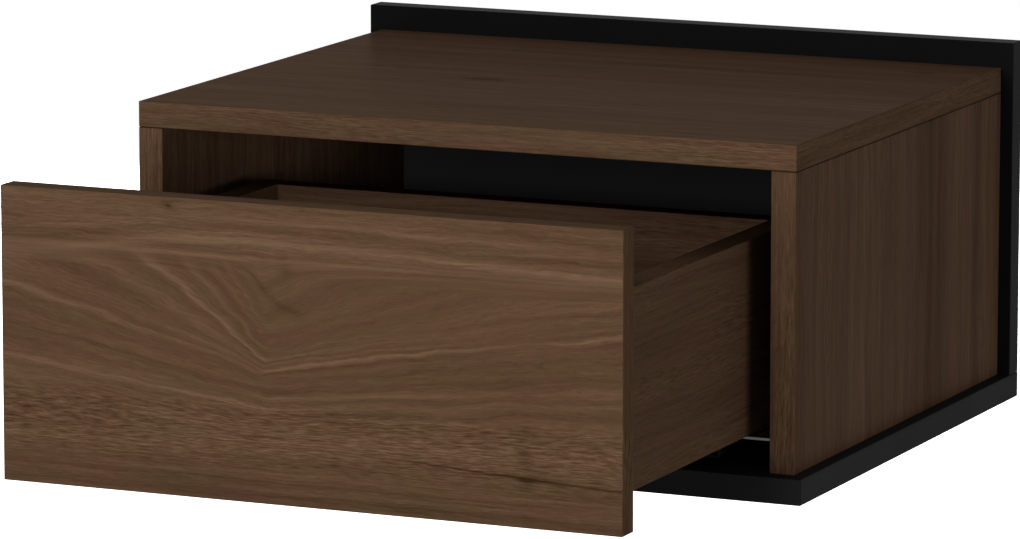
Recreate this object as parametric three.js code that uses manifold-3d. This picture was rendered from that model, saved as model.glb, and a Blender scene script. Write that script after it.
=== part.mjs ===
// Wall-hung nightstand with one inset drawer on hidden full-extension runners.
// Millimetres. X runs across the front, Y runs into the wall, Z is up.
// The origin is the middle of the face that meets the wall.
import * as THREE from 'three';
import { mergeVertices } from 'three/addons/utils/BufferGeometryUtils.js';
import Module from 'manifold-3d';

const wasm = await Module();
wasm.setup();

// Boards of the cabinet
const boardThickness = 16;
const cabinetWidth = 434;
const sideHeight = 182;
const backHeight = 214;
const blackOverhang = 8;
const baseLip = 10;

// Drawer
const frontGap = 3;
const drawerPulledOut = 214;
const drawerSideGap = 20;
const drawerSideHeight = 119;
const drawerFloorGap = 18;
const bottomRecess = 12;
const bottomThickness = 8;
const grooveDepth = 6;

// Clearances
const seatGap = 0.3;
const runningGap = 0.5;
const cutOverrun = 1;

// Runner: sheet-steel rails, a box-section middle rail and caged rollers
const railSheet = 1.5;
const railEndGap = 1;
const cabinetRailLength = 300;
const railRearRoom = 33;
const middleRailLength = 280;
const drawerRailLength = 284;
const drawerRailInset = 8;
const railFlangeHeight = 28;
const trayGap = 2.5;
const trayLipHeight = 11;
const trackInset = 21;
const middleRailWidth = 24;
const middleRailPlay = 1.3;
const trayPlay = 2.5;
const drawerRailLegHeight = 10.7;
const rollerRadius = 1.5;
const rollerLength = 18;
const rollersPerCage = 6;
const cageLength = 110;
const cageWidth = 22;
const cageThickness = 1.4;

// How far each part of a runner moves for each unit that the drawer moves
const middleRailShare = 1 / 2;
const lowerCageShare = 1 / 4;
const upperCageShare = 3 / 4;

// Fasteners: radius of shank and head, head depth and length
const connector = { shank: 3.5, head: 5, headDepth: 4, length: 50 };
const railScrew = { shank: 3.1, head: 4.5, headDepth: 2.4, length: 13 };
const plateScrew = { shank: 1.75, head: 3.4, headDepth: 1.6, length: 12 };
const bottomScrew = { shank: 1.75, head: 3.4, headDepth: 1.6, length: 28 };
const clipScrew = { shank: 1.75, head: 3.2, headDepth: 1.5, length: 9.5 };
const latchScrew = { shank: 1.75, head: 3.2, headDepth: 1.5, length: 14 };
const dowelRadius = 4;
const dowelLength = 30;
const dowelInTop = 10;
const camRadius = 7.5;
const camDepth = 12.5;
const camToJoint = 24;
const camBoltRadius = 3;
const camBoltInFront = 11;
const roundSides = 20;

// Places of fasteners
const connectorToEdge = 50;
const backScrewLow = 50;
const backScrewHigh = 140;
const railScrewBeforeFront = 13;
const railScrewBeforeRear = 39;
const camOverEdge = 38;
const camUnderEdge = 19;
const rearScrewOverEdge = 40;
const rearScrewUnderEdge = 21;
const bottomScrewInset = 75;

// Hanger plates let into the back board
const hangerInset = 67;
const hangerDrop = 60;
const hangerWidth = 60;
const hangerHeight = 26;
const hangerThickness = 2;
const hangerScrewSpacing = 44;
const keyholeRadius = 5;
const keyholeSlot = 5;
const keyholeRise = 10;
const keyholeDrop = 5;
const keyholeMargin = 1.5;
const keyholeDepth = 8;

// Locking clips under the drawer bottom
const clipWidth = 24;
const clipLength = 42;
const clipHeight = 9.7;
const clipPlate = 3;
const clipBody = 20;
const clipToRail = 4.3;
const clipTab = 3;
const clipTabLength = 12;
const clipEndGap = 2;
const clipScrewInset = 7;

// Push latch on the base board
const latchLength = 70;
const latchFootWidth = 40;
const latchFootLength = 16;
const latchFoot = 3;
const latchWall = 2;
const latchScrewInset = 6;
const plungerRadius = 4;
const plungerLength = 34;
const plungerReach = 8;
const plungerStem = 3;
const plungerCollarStep = 0.7;
const plungerCollarLength = 4;
const plungerTip = 2;
const springWire = 0.8;
const springTurns = 9;
const springSteps = 8;
const springSides = 5;

// Levels and planes that follow from the sizes above
const baseBottom = -(boardThickness + backHeight) / 2;
const baseTop = baseBottom + boardThickness;
const sideTop = baseTop + sideHeight;
const cabinetTop = sideTop + boardThickness;
const backTop = baseTop + backHeight;
const wallPlane = 0;
const backFace = wallPlane - boardThickness;
const cabinetDepth = boardThickness + railEndGap + cabinetRailLength + railRearRoom;
const cabinetFront = backFace - cabinetDepth;
const baseFront = cabinetFront - baseLip;
const halfCabinet = cabinetWidth / 2;
const halfOpening = halfCabinet - boardThickness;
const halfBlack = halfCabinet + blackOverhang;
const boardMiddle = halfCabinet - boardThickness / 2;
const hangerX = halfCabinet - hangerInset;
const hangerZ = backTop - hangerDrop;

const frontRear = cabinetFront + boardThickness;
const drawerLength = drawerRailLength + 2 * drawerRailInset;
const boxRear = frontRear + drawerLength;
const halfFront = halfOpening - frontGap;
const halfBox = halfOpening - drawerSideGap;
const halfBoxInside = halfBox - boardThickness;
const boxSideMiddle = halfBox - boardThickness / 2;
const boxBottom = baseTop + drawerFloorGap;
const boxTop = boxBottom + drawerSideHeight;
const bottomUnder = boxBottom + bottomRecess;
const bottomOver = bottomUnder + bottomThickness;
const camHeights = [boxBottom + camOverEdge, boxTop - camUnderEdge];
const rearScrewHeights = [boxBottom + rearScrewOverEdge, boxTop - rearScrewUnderEdge];

const trackCentre = halfBoxInside - trackInset;
const railFront = frontRear + railEndGap;
const runnerCentre = railFront + cabinetRailLength / 2;
const armTop = boxBottom - runningGap;
const trayTop = baseTop + trayGap + railSheet;
const drawerRailTop = bottomUnder - seatGap;
const middleRailBottom = trayTop + 2 * seatGap + 2 * rollerRadius;
const middleRailTop = drawerRailTop - railSheet - 2 * seatGap - 2 * rollerRadius;
const drawerRailHalf = middleRailWidth / 2 + middleRailPlay + railSheet;
const trayHalf = drawerRailHalf + trayPlay + railSheet;
const flangeFace = halfOpening - seatGap;

const latchBore = plungerRadius + plungerCollarStep + seatGap;
const latchRadius = latchBore + latchWall;
const latchAxisZ = baseTop + seatGap + latchRadius;
const plungerFront = frontRear + runningGap;
const latchMouth = plungerFront + plungerReach;
const latchEnd = latchMouth + latchLength;
const collarStart = plungerReach + latchWall + seatGap;
const collarEnd = collarStart + plungerCollarLength;

const walnut = new THREE.MeshStandardMaterial({ color: 0x5d4634, roughness: 0.55, metalness: 0 });
const blackBoard = new THREE.MeshStandardMaterial({ color: 0x161616, roughness: 0.6, metalness: 0 });
const zincSteel = new THREE.MeshStandardMaterial({ color: 0xb4b6b8, roughness: 0.35, metalness: 1 });
const nylon = new THREE.MeshStandardMaterial({ color: 0xd8d8d2, roughness: 0.5, metalness: 0 });
const greyPlastic = new THREE.MeshStandardMaterial({ color: 0x5a5c5e, roughness: 0.5, metalness: 0 });
const beech = new THREE.MeshStandardMaterial({ color: 0xc9a878, roughness: 0.7, metalness: 0 });

// Boxes, rods and screws

function block([x0, x1], [y0, y1], [z0, z1]) {
  const geometry = new THREE.BoxGeometry(x1 - x0, y1 - y0, z1 - z0);
  return geometry.translate((x0 + x1) / 2, (y0 + y1) / 2, (z0 + z1) / 2);
}

// turns a shape that stands on the origin along +Y to run from a point in a direction
function aim(geometry, point, direction) {
  const turn = new THREE.Quaternion().setFromUnitVectors(new THREE.Vector3(0, 1, 0), direction);
  return geometry.applyQuaternion(turn).translate(...point);
}

const rightward = new THREE.Vector3(1, 0, 0);
const leftward = new THREE.Vector3(-1, 0, 0);
const wallward = new THREE.Vector3(0, 1, 0);
const frontward = new THREE.Vector3(0, -1, 0);
const upward = new THREE.Vector3(0, 0, 1);
const downward = new THREE.Vector3(0, 0, -1);

function rod(radius, length, point, direction) {
  const cylinder = new THREE.CylinderGeometry(radius, radius, length, roundSides);
  return aim(cylinder.translate(0, length / 2, 0), point, direction);
}

// a solid turned on its axis from [radius, distance] pairs, with both ends closed
function turned(profile, point, direction) {
  const points = profile.map(([radius, distance]) => new THREE.Vector2(radius, distance));
  return aim(new THREE.LatheGeometry(points, roundSides), point, direction);
}

// a countersunk screw whose head is flush with a face at the given point; grow widens it into its hole
function screw({ shank, head, headDepth, length }, point, direction, grow = 0) {
  return turned(
    [
      [0, -grow],
      [head + grow, -grow],
      [shank + grow, headDepth],
      [shank + grow, length + grow],
      [0, length + grow],
    ],
    point,
    direction,
  );
}

// Solids

function solidOf(geometry) {
  const bare = geometry.clone();
  bare.deleteAttribute('normal');
  bare.deleteAttribute('uv');
  const merged = mergeVertices(bare);
  const vertProperties = new Float32Array(merged.attributes.position.array);
  const triVerts = new Uint32Array(merged.index.array);
  return new wasm.Manifold(new wasm.Mesh({ numProp: 3, vertProperties, triVerts }));
}

function geometryOf(solid) {
  const { vertProperties, triVerts } = solid.getMesh();
  const geometry = new THREE.BufferGeometry();
  geometry.setAttribute('position', new THREE.BufferAttribute(vertProperties, 3));
  geometry.setIndex(new THREE.BufferAttribute(triVerts, 1));
  geometry.computeVertexNormals();
  return geometry;
}

function carve(geometry, tools) {
  let solid = solidOf(geometry);
  for (const tool of tools) solid = solid.subtract(solidOf(tool));
  return geometryOf(solid);
}

function fuse(pieces) {
  let solid = solidOf(pieces[0]);
  for (const piece of pieces.slice(1)) solid = solid.add(solidOf(piece));
  return geometryOf(solid);
}

// a sheet-metal section bent along a line of points in X and Z, carried along Y
function bentSheet(line, thickness, y0, length) {
  const left = [];
  const right = [];
  line.forEach((point, i) => {
    const before = line[Math.max(i - 1, 0)];
    const after = line[Math.min(i + 1, line.length - 1)];
    const into = point.clone().sub(i > 0 ? before : point);
    const out = after.clone().sub(i < line.length - 1 ? point : after);
    const inSide = i > 0 ? new THREE.Vector2(-into.y, into.x).normalize() : null;
    const outSide = i < line.length - 1 ? new THREE.Vector2(-out.y, out.x).normalize() : null;
    const side = new THREE.Vector2();
    if (inSide && outSide) {
      side.addVectors(inSide, outSide).divideScalar(1 + inSide.dot(outSide));
    } else {
      side.copy(inSide ?? outSide);
    }
    left.push(point.clone().addScaledVector(side, thickness / 2));
    right.unshift(point.clone().addScaledVector(side, -thickness / 2));
  });
  const section = new THREE.Shape([...left, ...right]);
  return alongY(section, y0, length);
}

// extrudes a section drawn in X and Z along +Y
function alongY(section, y0, length) {
  const geometry = new THREE.ExtrudeGeometry(section, { depth: length, bevelEnabled: false });
  return geometry.rotateX(Math.PI / 2).translate(0, y0 + length, 0);
}

// Assembly

const nightstand = new THREE.Group();
const cabinet = new THREE.Group();
nightstand.add(cabinet);

// what rides on the runners is modelled as if closed, then pulled out by its share of the opening
function slidingGroup(share) {
  const group = new THREE.Group();
  group.position.y = -share * drawerPulledOut;
  nightstand.add(group);
  return group;
}

const drawer = slidingGroup(1);
const middleRails = slidingGroup(middleRailShare);
const lowerCages = slidingGroup(lowerCageShare);
const upperCages = slidingGroup(upperCageShare);

function add(group, name, geometry, material) {
  const mesh = new THREE.Mesh(geometry, material);
  mesh.name = name;
  group.add(mesh);
}

// identical pieces are numbered
function addEach(group, name, geometries, material) {
  geometries.forEach((geometry, i) => add(group, `${name}_${i + 1}`, geometry, material));
}

const hands = [
  { hand: 'left', sign: -1, outward: leftward, inward: rightward },
  { hand: 'right', sign: 1, outward: rightward, inward: leftward },
];

function span(sign, a, b) {
  return sign > 0 ? [a, b] : [-b, -a];
}

// Cabinet fasteners: where they sit, as functions of their clearance so that holes follow them

const sideRows = [cabinetFront + connectorToEdge, backFace - connectorToEdge];

function baseScrews(grow) {
  return hands.flatMap(({ sign }) =>
    sideRows.map((y) => screw(connector, [sign * boardMiddle, y, baseBottom], upward, grow)),
  );
}

function backScrews(grow) {
  return hands.flatMap(({ sign }) =>
    [backScrewLow, backScrewHigh].map((height) =>
      screw(connector, [sign * boardMiddle, wallPlane, baseTop + height], frontward, grow),
    ),
  );
}

function topDowels(grow) {
  const start = sideTop + dowelInTop - dowelLength - grow;
  return hands.flatMap(({ sign }) =>
    sideRows.map((y) =>
      rod(dowelRadius + grow, dowelLength + 2 * grow, [sign * boardMiddle, y, start], upward),
    ),
  );
}

// holes for the two screws of each hanger plate
function hangerHoles() {
  return hands.flatMap(({ sign }) =>
    [-1, 1].map((side) => {
      const x = sign * hangerX + (side * hangerScrewSpacing) / 2;
      return screw(plateScrew, [x, wallPlane - seatGap, hangerZ], frontward, seatGap);
    }),
  );
}

const [frontRow, rearRow] = sideRows;
const railScrewRows = [frontRow - railScrewBeforeFront, rearRow - railScrewBeforeRear];

// a rail screw is a pan head on the flange with its shank through it
function railScrews(hand, grow) {
  const { shank, head, headDepth, length } = railScrew;
  return railScrewRows.map((row) => {
    const point = [hand.sign * (flangeFace - railSheet), row, armTop + railFlangeHeight / 2];
    const profile = [
      [0, -headDepth - seatGap],
      [head, -headDepth - seatGap],
      [head, -seatGap],
      [shank + grow, -seatGap],
      [shank + grow, length + grow],
      [0, length + grow],
    ];
    return turned(profile, point, hand.outward);
  });
}

// Cabinet boards

add(
  cabinet,
  'base_panel',
  carve(block([-halfBlack, halfBlack], [baseFront, wallPlane], [baseBottom, baseTop]), [
    ...baseScrews(seatGap),
    ...latchScrews(seatGap),
  ]),
  blackBoard,
);

// the pocket takes the plate, and a deeper slot behind the keyhole takes the wall screw's head
function hangerPocket(sign) {
  const x = sign * hangerX;
  const z = hangerZ;
  const halfWidth = hangerWidth / 2 + seatGap;
  const halfHeight = hangerHeight / 2 + seatGap;
  const floor = wallPlane - 2 * seatGap - hangerThickness;
  const halfSlot = keyholeRadius + keyholeMargin;
  return [
    block([x - halfWidth, x + halfWidth], [floor, wallPlane + cutOverrun], [z - halfHeight, z + halfHeight]),
    block(
      [x - halfSlot, x + halfSlot],
      [floor - keyholeDepth, floor + seatGap],
      [z - keyholeDrop - halfSlot, z + keyholeRise],
    ),
  ];
}

add(
  cabinet,
  'back_panel',
  carve(block([-halfBlack, halfBlack], [backFace, wallPlane], [baseTop, backTop]), [
    ...backScrews(seatGap),
    ...hands.flatMap(({ sign }) => hangerPocket(sign)),
    ...hangerHoles(),
  ]),
  blackBoard,
);

for (const hand of hands) {
  const width = span(hand.sign, halfOpening, halfCabinet);
  const side = block(width, [cabinetFront, backFace], [baseTop, sideTop]);
  const holes = [
    ...baseScrews(seatGap),
    ...backScrews(seatGap),
    ...topDowels(seatGap),
    ...railScrews(hand, seatGap),
  ];
  add(cabinet, `side_panel_${hand.hand}`, carve(side, holes), walnut);
}

add(
  cabinet,
  'top_panel',
  carve(
    block([-halfCabinet, halfCabinet], [cabinetFront, backFace], [sideTop, cabinetTop]),
    topDowels(seatGap),
  ),
  walnut,
);

addEach(cabinet, 'base_screw', baseScrews(0), zincSteel);
addEach(cabinet, 'back_screw', backScrews(0), zincSteel);
addEach(cabinet, 'top_dowel', topDowels(0), beech);

// Hanger plates with a keyhole: a round entry below and a slot above it

for (const { hand, sign } of hands) {
  const x = sign * hangerX;
  const z = hangerZ;
  const rear = wallPlane - seatGap;
  const plate = block(
    [x - hangerWidth / 2, x + hangerWidth / 2],
    [rear - hangerThickness, rear],
    [z - hangerHeight / 2, z + hangerHeight / 2],
  );
  const through = hangerThickness + 2 * cutOverrun;
  const entry = rod(keyholeRadius, through, [x, rear + cutOverrun, z - keyholeDrop], frontward);
  const slot = block(
    [x - keyholeSlot / 2, x + keyholeSlot / 2],
    [rear - through, rear + cutOverrun],
    [z - keyholeDrop, z + keyholeRise - keyholeMargin],
  );
  add(cabinet, `hanger_plate_${hand}`, carve(plate, [entry, slot, ...hangerHoles()]), zincSteel);
}

// Runners

// the wall flange, the arm under the drawer side, and the tray that the middle rail rolls in
function cabinetRail(hand) {
  const flangeX = flangeFace - railSheet / 2;
  const armZ = armTop - railSheet / 2;
  const trayZ = trayTop - railSheet / 2;
  const webX = trackCentre + trayHalf - railSheet / 2;
  const lipX = trackCentre - trayHalf + railSheet / 2;
  const line = [
    [flangeX, armTop + railFlangeHeight],
    [flangeX, armZ],
    [webX, armZ],
    [webX, trayZ],
    [lipX, trayZ],
    [lipX, trayTop + trayLipHeight],
  ].map(([x, z]) => new THREE.Vector2(hand.sign * x, z));
  if (hand.sign < 0) line.reverse();
  const holes = railScrews(hand, seatGap);
  return carve(bentSheet(line, railSheet, railFront, cabinetRailLength), holes);
}

function middleRail(sign) {
  const outer = [middleRailWidth / 2, middleRailBottom, middleRailTop];
  const inner = [outer[0] - railSheet, outer[1] + railSheet, outer[2] - railSheet];
  const y0 = runnerCentre - middleRailLength / 2;
  const corners = ([half, low, high]) =>
    [
      [-half, low],
      [half, low],
      [half, high],
      [-half, high],
    ].map(([x, z]) => new THREE.Vector2(sign * trackCentre + x, z));
  const section = new THREE.Shape(corners(outer));
  section.holes.push(new THREE.Path(corners(inner).reverse()));
  return alongY(section, y0, middleRailLength);
}

function drawerRail(sign) {
  const half = drawerRailHalf - railSheet / 2;
  const legEnd = drawerRailTop - drawerRailLegHeight;
  const plate = drawerRailTop - railSheet / 2;
  const line = [
    [-half, legEnd],
    [-half, plate],
    [half, plate],
    [half, legEnd],
  ].map(([x, z]) => new THREE.Vector2(sign * trackCentre + x, z));
  const y0 = (frontRear + boxRear - drawerRailLength) / 2;
  return bentSheet(line, railSheet, y0, drawerRailLength);
}

// a nylon plate with its steel rollers held in it, as one piece
function rollerCage(sign, axisZ) {
  const x = sign * trackCentre;
  const pitch = cageLength / rollersPerCage;
  const plate = block(
    [x - cageWidth / 2, x + cageWidth / 2],
    [runnerCentre - cageLength / 2, runnerCentre + cageLength / 2],
    [axisZ - cageThickness / 2, axisZ + cageThickness / 2],
  );
  const rollers = Array.from({ length: rollersPerCage }, (unused, i) => {
    const y = runnerCentre - cageLength / 2 + (i + 1 / 2) * pitch;
    return rod(rollerRadius, rollerLength, [x - rollerLength / 2, y, axisZ], rightward);
  });
  return fuse([plate, ...rollers]);
}

for (const hand of hands) {
  const lowerAxis = trayTop + seatGap + rollerRadius;
  const upperAxis = middleRailTop + seatGap + rollerRadius;
  add(cabinet, `cabinet_rail_${hand.hand}`, cabinetRail(hand), zincSteel);
  addEach(cabinet, `rail_screw_${hand.hand}`, railScrews(hand, 0), zincSteel);
  add(lowerCages, `lower_cage_${hand.hand}`, rollerCage(hand.sign, lowerAxis), nylon);
  add(middleRails, `middle_rail_${hand.hand}`, middleRail(hand.sign), zincSteel);
  add(upperCages, `upper_cage_${hand.hand}`, rollerCage(hand.sign, upperAxis), nylon);
  add(drawer, `drawer_rail_${hand.hand}`, drawerRail(hand.sign), zincSteel);
}

// Drawer fasteners

// each bolt is screwed into the front and ends in the middle of its cam
function camBolts(grow) {
  const start = frontRear - camBoltInFront - grow;
  const length = camBoltInFront + camToJoint + 2 * grow;
  return hands.flatMap(({ sign }) =>
    camHeights.map((height) =>
      rod(camBoltRadius + grow, length, [sign * boxSideMiddle, start, height], wallward),
    ),
  );
}

function cams(grow) {
  return hands.flatMap(({ sign, outward }) =>
    camHeights.map((height) => {
      const start = [sign * (halfBoxInside - grow), frontRear + camToJoint, height];
      return rod(camRadius + grow, camDepth + 2 * grow, start, outward);
    }),
  );
}

function rearScrews(grow) {
  return hands.flatMap(({ sign, inward }) =>
    rearScrewHeights.map((height) =>
      screw(connector, [sign * halfBox, boxRear - boardThickness / 2, height], inward, grow),
    ),
  );
}

function bottomScrews(grow) {
  const row = boxRear - boardThickness / 2;
  return hands.map(({ sign }) =>
    screw(bottomScrew, [sign * (halfBoxInside - bottomScrewInset), row, bottomUnder], upward, grow),
  );
}

// Locking clips: a plate under the bottom, a body with the catch, and a tab that hooks the rail

const clipOuter = trackCentre - drawerRailHalf - clipToRail;
const clipFront = frontRear + clipEndGap;

function clipHoles() {
  const under = bottomUnder - seatGap - clipPlate;
  return hands.map(({ sign }) => {
    const point = [sign * (clipOuter - clipWidth / 2), clipFront + clipLength - clipScrewInset, under];
    return screw(clipScrew, point, upward, seatGap);
  });
}

function lockingClip(sign) {
  const top = bottomUnder - seatGap;
  const width = span(sign, clipOuter - clipWidth, clipOuter);
  const plate = block(width, [clipFront, clipFront + clipLength], [top - clipPlate, top]);
  const body = block(width, [clipFront, clipFront + clipBody], [top - clipHeight, top]);
  const tab = block(
    span(sign, clipOuter - clipTab, clipOuter + clipToRail - seatGap),
    [clipFront + clipBody - clipTabLength, clipFront + clipBody],
    [top - clipHeight, top - clipHeight + clipTab],
  );
  return carve(fuse([plate, body, tab]), clipHoles());
}

// Drawer boards

function bottomGroove() {
  const half = halfBoxInside + grooveDepth + seatGap;
  return block(
    [-half, half],
    [frontRear - grooveDepth - seatGap, boxRear + cutOverrun],
    [bottomUnder - seatGap, bottomOver + seatGap],
  );
}

const frontSpan = [-halfFront, halfFront];
const frontRise = [baseTop + frontGap, sideTop - frontGap];

add(
  drawer,
  'drawer_front',
  carve(block(frontSpan, [cabinetFront, frontRear], frontRise), [bottomGroove(), ...camBolts(seatGap)]),
  walnut,
);

for (const { hand, sign } of hands) {
  const side = block(span(sign, halfBoxInside, halfBox), [frontRear, boxRear], [boxBottom, boxTop]);
  const holes = [
    bottomGroove(),
    ...camBolts(seatGap),
    ...cams(seatGap),
    ...rearScrews(seatGap),
  ];
  add(drawer, `drawer_side_${hand}`, carve(side, holes), walnut);
  add(drawer, `locking_clip_${hand}`, lockingClip(sign), greyPlastic);
}

add(
  drawer,
  'drawer_rear',
  carve(block([-halfBoxInside, halfBoxInside], [boxRear - boardThickness, boxRear], [bottomOver, boxTop]), [
    ...rearScrews(seatGap),
    ...bottomScrews(seatGap),
  ]),
  walnut,
);

add(
  drawer,
  'drawer_bottom',
  carve(
    block(
      [-halfBoxInside - grooveDepth, halfBoxInside + grooveDepth],
      [frontRear - grooveDepth, boxRear],
      [bottomUnder, bottomOver],
    ),
    [...bottomScrews(seatGap), ...clipHoles()],
  ),
  walnut,
);

const boltHoles = camBolts(seatGap);
addEach(drawer, 'cam_bolt', camBolts(0), zincSteel);
addEach(
  drawer,
  'cam_disc',
  cams(0).map((disc, i) => carve(disc, [boltHoles[i]])),
  zincSteel,
);
addEach(drawer, 'rear_screw', rearScrews(0), zincSteel);
addEach(drawer, 'bottom_screw', bottomScrews(0), zincSteel);

// Push latch: a tube on a foot, with a sprung plunger that meets the back of the closed front

// one screw in each foot, on opposite sides of the tube
function latchScrews(grow) {
  const height = baseTop + seatGap + latchFoot;
  const x = latchFootWidth / 2 - latchScrewInset;
  return [
    [-x, latchMouth + latchFootLength / 2],
    [x, latchEnd - latchFootLength / 2],
  ].map((place) => screw(latchScrew, [...place, height], downward, grow));
}

function latchHousing() {
  const low = baseTop + seatGap;
  const axis = (y) => [0, y, latchAxisZ];
  const tube = rod(latchRadius, latchLength, axis(latchMouth), wallward);
  const feet = [latchMouth, latchEnd - latchFootLength].map((y) =>
    block([-latchFootWidth / 2, latchFootWidth / 2], [y, y + latchFootLength], [low, low + latchFoot]),
  );
  const collarRoom = rod(latchBore, latchLength - 2 * latchWall, axis(latchMouth + latchWall), wallward);
  const neckLength = latchWall + 2 * cutOverrun;
  const neck = rod(plungerRadius + seatGap, neckLength, axis(latchMouth - cutOverrun), wallward);
  return carve(fuse([tube, ...feet]), [collarRoom, neck, ...latchScrews(seatGap)]);
}

// the collar stays behind the neck of the tube and takes the spring
function latchPlunger() {
  const collar = plungerRadius + plungerCollarStep;
  return turned(
    [
      [0, 0],
      [plungerRadius - plungerTip, 0],
      [plungerRadius, plungerTip],
      [plungerRadius, collarStart],
      [collar, collarStart],
      [collar, collarEnd],
      [plungerStem, collarEnd],
      [plungerStem, plungerLength],
      [0, plungerLength],
    ],
    [0, plungerFront, latchAxisZ],
    wallward,
  );
}

// an open helix round the plunger's stem, from its collar to the end of the bore
class Helix extends THREE.Curve {
  constructor(radius, start, end) {
    super();
    Object.assign(this, { radius, start, end });
  }

  getPoint(t, target = new THREE.Vector3()) {
    const angle = t * springTurns * 2 * Math.PI;
    const along = THREE.MathUtils.lerp(this.start, this.end, t);
    return target.set(this.radius * Math.cos(angle), along, latchAxisZ + this.radius * Math.sin(angle));
  }
}

function latchSpring() {
  const margin = seatGap + springWire / 2;
  const start = plungerFront + collarEnd + margin;
  const path = new Helix((plungerStem + latchBore) / 2, start, latchEnd - latchWall - margin);
  const section = new THREE.Shape();
  for (let i = 0; i < springSides; i += 1) {
    const angle = (i / springSides) * 2 * Math.PI;
    const point = [(Math.cos(angle) * springWire) / 2, (Math.sin(angle) * springWire) / 2];
    if (i === 0) section.moveTo(...point);
    else section.lineTo(...point);
  }
  const steps = springTurns * springSteps;
  return new THREE.ExtrudeGeometry(section, { steps, extrudePath: path, bevelEnabled: false });
}

add(cabinet, 'latch_housing', latchHousing(), greyPlastic);
addEach(cabinet, 'latch_screw', latchScrews(0), zincSteel);
add(cabinet, 'latch_spring', latchSpring(), zincSteel);
add(cabinet, 'latch_plunger', latchPlunger(), nylon);

export default nightstand;
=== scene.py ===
import math

import bmesh
import bpy
import numpy as np
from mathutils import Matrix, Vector


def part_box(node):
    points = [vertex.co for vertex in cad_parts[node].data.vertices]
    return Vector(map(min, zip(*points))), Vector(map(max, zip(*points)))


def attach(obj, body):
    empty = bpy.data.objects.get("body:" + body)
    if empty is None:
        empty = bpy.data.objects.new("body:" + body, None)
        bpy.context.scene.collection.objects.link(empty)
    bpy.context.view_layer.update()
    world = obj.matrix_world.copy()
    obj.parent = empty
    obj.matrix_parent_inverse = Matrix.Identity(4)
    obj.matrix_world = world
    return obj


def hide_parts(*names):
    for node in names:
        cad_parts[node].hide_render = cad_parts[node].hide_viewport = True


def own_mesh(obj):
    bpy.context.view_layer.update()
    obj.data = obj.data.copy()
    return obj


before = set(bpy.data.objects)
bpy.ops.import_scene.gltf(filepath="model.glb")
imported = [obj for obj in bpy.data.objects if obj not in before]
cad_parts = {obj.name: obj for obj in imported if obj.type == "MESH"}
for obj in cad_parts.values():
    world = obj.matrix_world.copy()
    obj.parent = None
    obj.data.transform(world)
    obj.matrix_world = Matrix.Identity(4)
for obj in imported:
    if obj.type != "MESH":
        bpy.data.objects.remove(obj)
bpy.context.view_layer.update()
mm = 0.001
turn = 2 * math.pi
print("frame loaded,", len(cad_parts), "nodes")

scene = bpy.context.scene
scene.view_settings.view_transform = "Standard"

# Camera: place in metres, angles in radians, lens and sensor in mm
camera = dict(place=(1.6766, -4.0395, 0.7160), yaw=0.4208, pitch=0.1732, lens=240.13, sensor=36, far=100)


def makeCamera():
    data = bpy.data.cameras.new("camera")
    data.sensor_width = camera["sensor"]
    data.lens = camera["lens"]
    data.clip_end = camera["far"]
    eye = bpy.data.objects.new("camera", data)
    eye.location = camera["place"]
    eye.rotation_euler = (math.pi / 2 - camera["pitch"], 0, camera["yaw"])
    scene.collection.objects.link(eye)
    scene.camera = eye


makeCamera()
print("camera placed")


def feed(tree, socket, value):  # links a wire, and sets anything else as the value
    if isinstance(value, Wire):
        tree.links.new(value.socket, socket)
    else:
        socket.default_value = value


def operator(operation, swapped=False):
    return lambda self, other: self.math(operation, *((other, self) if swapped else (self, other)))


# Shader sums: a wire is a socket, and each operator adds its Math node
class Wire:
    def __init__(self, tree, socket=None):
        self.tree = tree
        self.socket = socket

    def node(self, kind, inputs, output=0, stops=(), **settings):
        made = self.tree.nodes.new("ShaderNode" + kind)
        for name, value in settings.items():
            setattr(made, name, value)
        if stops:
            ends = made.color_ramp.elements
            ends[0].position, ends[0].color = stops[0]
            ends[-1].position, ends[-1].color = stops[-1]
            for place, colour in stops[1:-1]:
                ends.new(place).color = colour
        for key, value in inputs.items():
            feed(self.tree, made.inputs[key], value)
        return Wire(self.tree, made.outputs[output])

    def pick(self, name):
        return Wire(self.tree, self.socket.node.outputs[name])

    def math(self, operation, *values):
        return self.node("Math", dict(enumerate(values)), operation=operation)

    __add__ = __radd__ = operator("ADD")
    __sub__ = operator("SUBTRACT")
    __rsub__ = operator("SUBTRACT", swapped=True)
    __mul__ = __rmul__ = operator("MULTIPLY")
    __truediv__ = operator("DIVIDE")
    __rtruediv__ = operator("DIVIDE", swapped=True)
    __gt__ = operator("GREATER_THAN")

    def __abs__(self):
        return self.math("ABSOLUTE", self)

    def rise(self, low, high):  # 0 below low, 1 above high, smooth between
        inputs = {"Value": self, "From Min": low, "From Max": high}
        return self.node("MapRange", inputs, interpolation_type="SMOOTHSTEP")

    def within(self, low, high):  # 1 between two pairs of values, smooth from 0 to 1 in each pair
        return self.rise(*low) * (1 - self.rise(*high))

    def peak(self, centre, width):  # 1 at the centre, a half at the width from it, falling to 0
        away = (self - centre) / width
        return 1 / (1 + away * away)


def newMaterial(name):
    material = bpy.data.materials.new(name)
    material.use_nodes = True
    return material, Wire(material.node_tree)


def finished(material, **sockets):
    inputs = material.node_tree.nodes["Principled BSDF"].inputs
    for name, value in sockets.items():
        feed(material.node_tree, inputs[name.replace("_", " ")], value)
    return material


def bumpOf(wire, height, distance, strength):
    return wire.node("Bump", {"Height": height, "Distance": distance, "Strength": strength})


def grey(value):
    return (value, value, value, 1)


def blend(wire, share, first, second, kind="MIX"):  # first where the share is 0, second where it is 1
    return wire.node("Mix", {0: share, 6: first, 7: second}, 2, data_type="RGBA", blend_type=kind)


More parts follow.
